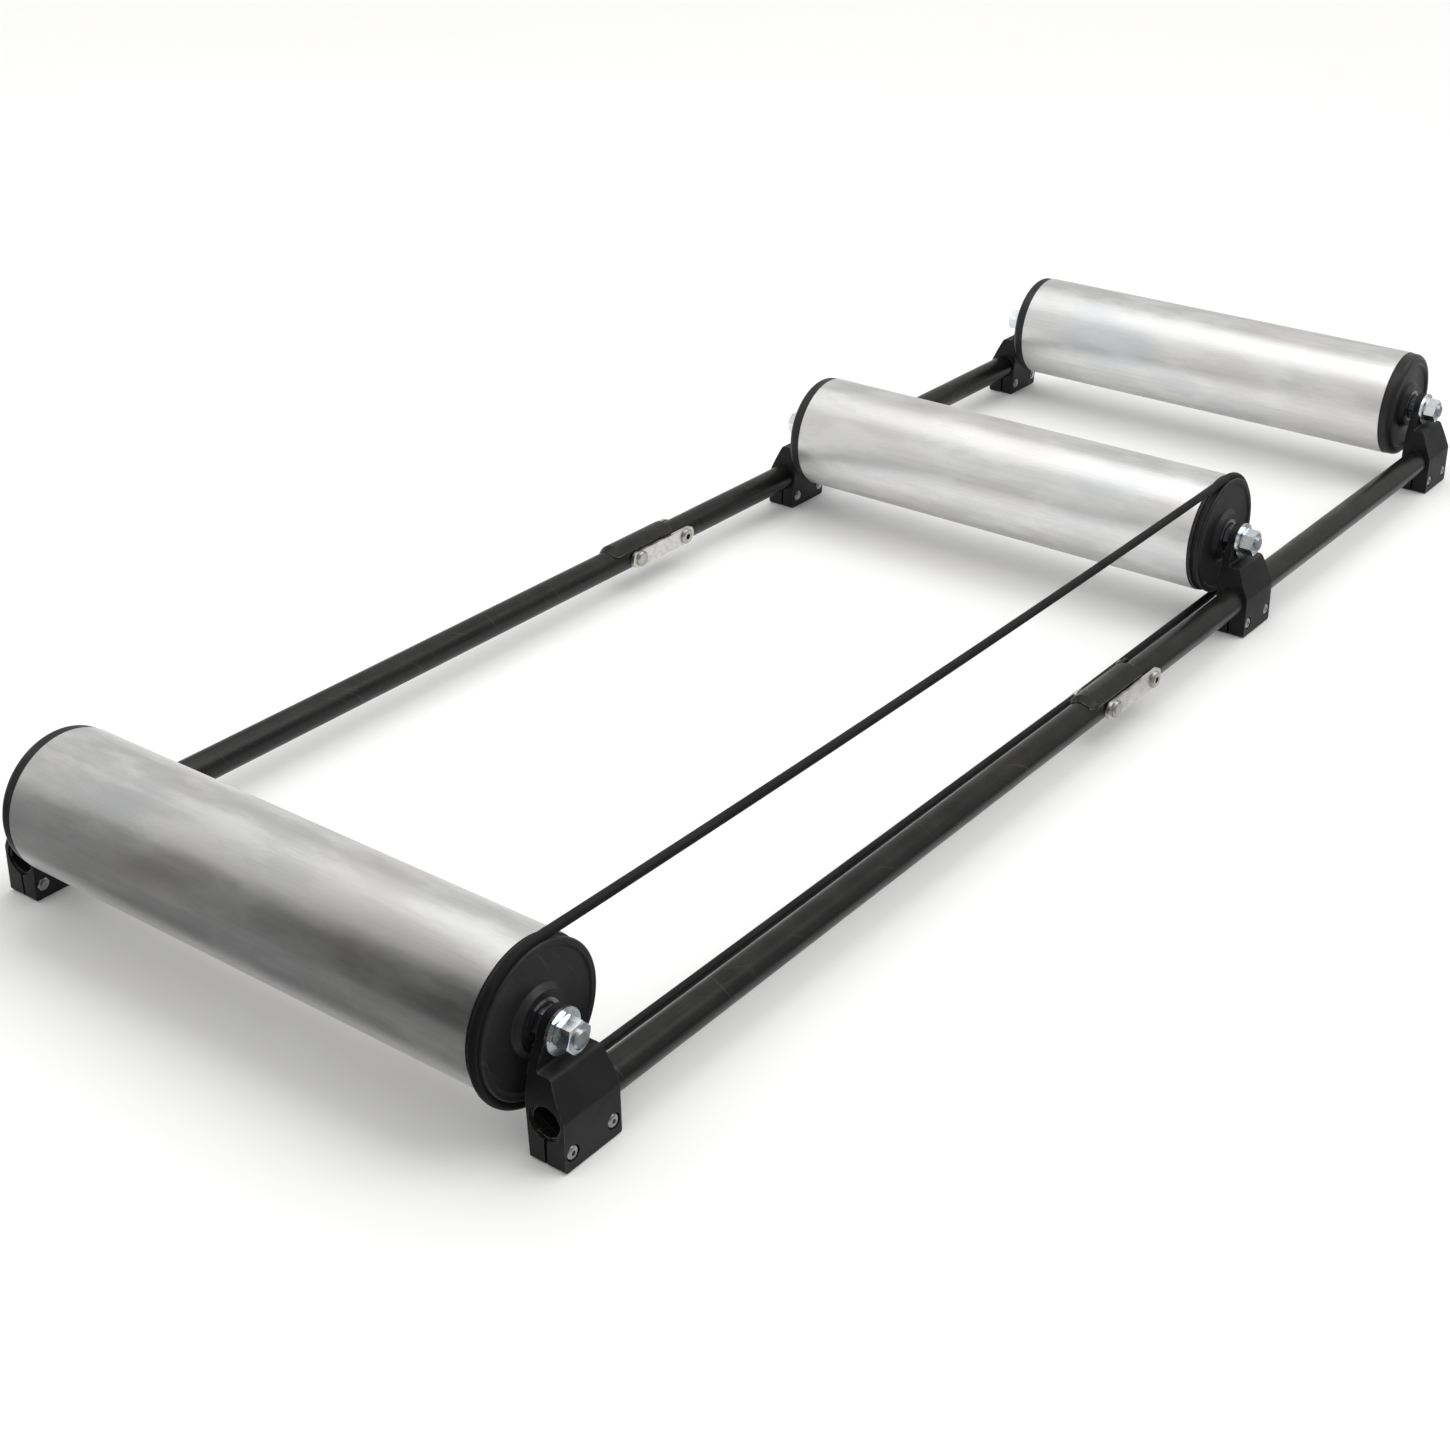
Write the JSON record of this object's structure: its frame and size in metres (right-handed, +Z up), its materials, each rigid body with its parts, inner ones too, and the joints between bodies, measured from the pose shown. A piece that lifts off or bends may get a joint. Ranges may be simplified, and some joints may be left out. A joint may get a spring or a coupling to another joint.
{
  "type": "bicycle training rollers",
  "caption": "Folding training rollers: aluminium drums with black end caps on a black tube frame, linked by a round drive belt.",
  "frame": {"origin": "centre of the bounding box at floor level", "axes": "+X along the rails from the front drum to the rear drum, +Y across, away from the belt, +Z up"},
  "size_m": [1.3242, 0.4718, 0.1227],
  "materials": {
    "drum_aluminium": "satin, turned",
    "cap_plastic": "satin moulded",
    "bearing_steel": "ground",
    "ball_steel": "polished",
    "seal_rubber": "moulded",
    "axle_steel": "bright zinc",
    "zinc_fasteners": "bright zinc",
    "bracket_plastic": "moulded, fine grain",
    "rail_paint": "satin powder coat",
    "link_steel": "satin zinc",
    "screw_steel": "zinc",
    "belt_rubber": "smooth",
    "joiner_metal": "bright"
  },
  "bodies": {
    "rear_frame": {"middle_bearing_inner_rings": "bearing_steel", "middle_axle": "axle_steel", "middle_lock_nuts": "zinc_fasteners", "middle_axle_washers": "zinc_fasteners", "middle_axle_nuts": "zinc_fasteners", "rear_bearing_inner_rings": "bearing_steel", "rear_axle": "axle_steel", "rear_lock_nuts": "zinc_fasteners", "rear_axle_washers": "zinc_fasteners", "rear_axle_nuts": "zinc_fasteners", "middle_bracket_left": "bracket_plastic", "middle_bracket_right": "bracket_plastic", "rear_bracket_left": "bracket_plastic", "rear_bracket_right": "bracket_plastic", "rear_rail_left": "rail_paint", "rear_rail_right": "rail_paint", "rear_clamp_screws": "screw_steel", "rear_clamp_nuts": "screw_steel"},
    "fold_links": {"left_link_outer": "link_steel", "left_link_inner": "link_steel", "right_link_outer": "link_steel", "right_link_inner": "link_steel", "front_hinge_pins": "link_steel", "rear_hinge_pins": "link_steel", "belt_joiner": "joiner_metal"},
    "front_frame": {"front_bearing_inner_rings": "bearing_steel", "front_axle": "axle_steel", "front_lock_nuts": "zinc_fasteners", "front_axle_washers": "zinc_fasteners", "front_axle_nuts": "zinc_fasteners", "front_bracket_left": "bracket_plastic", "front_bracket_right": "bracket_plastic", "front_rail_left": "rail_paint", "front_rail_right": "rail_paint", "hinge_saddle_left": "rail_paint", "hinge_saddle_right": "rail_paint", "front_clamp_screws": "screw_steel", "front_clamp_nuts": "screw_steel", "belt": "belt_rubber"},
    "front_drum": {"front_drum_tube": "drum_aluminium", "front_cap_left": "cap_plastic", "front_cap_right": "cap_plastic", "front_bearing_outer_rings": "bearing_steel", "front_bearing_balls": "ball_steel", "front_bearing_seals": "seal_rubber"},
    "middle_drum": {"middle_drum_tube": "drum_aluminium", "middle_cap_left": "cap_plastic", "middle_cap_right": "cap_plastic", "middle_bearing_outer_rings": "bearing_steel", "middle_bearing_balls": "ball_steel", "middle_bearing_seals": "seal_rubber"},
    "rear_drum": {"rear_drum_tube": "drum_aluminium", "rear_cap_left": "cap_plastic", "rear_cap_right": "cap_plastic", "rear_bearing_outer_rings": "bearing_steel", "rear_bearing_balls": "ball_steel", "rear_bearing_seals": "seal_rubber"}
  },
  "joints": [
    {"name": "link_fold", "type": "hinge", "parent": "rear_frame", "child": "fold_links", "pos_m": [0.0386, 0, 0.028], "axis": [0, -1, 0], "range_deg": [0, 90], "deforming": ["belt"]},
    {"name": "front_fold", "type": "hinge", "parent": "fold_links", "child": "front_frame", "pos_m": [-0.0214, 0, 0.028], "axis": [0, -1, 0], "range_deg": [0, 90], "deforming": ["belt"]},
    {"name": "front_drum_spin", "type": "hinge", "parent": "front_frame", "child": "front_drum", "pos_m": [-0.6114, 0, 0.072], "axis": [0, 1, 0], "continuous": true},
    {"name": "middle_drum_spin", "type": "hinge", "parent": "rear_frame", "child": "middle_drum", "pos_m": [0.2236, 0, 0.072], "axis": [0, 1, 0], "continuous": true},
    {"name": "rear_drum_spin", "type": "hinge", "parent": "rear_frame", "child": "rear_drum", "pos_m": [0.6146, 0, 0.072], "axis": [0, 1, 0], "continuous": true}
  ],
  "couplings": [
    {"joint": "front_fold", "follows": "link_fold", "ratio": 1},
    {"joint": "front_drum_spin", "follows": "middle_drum_spin", "ratio": 1}
  ]
}
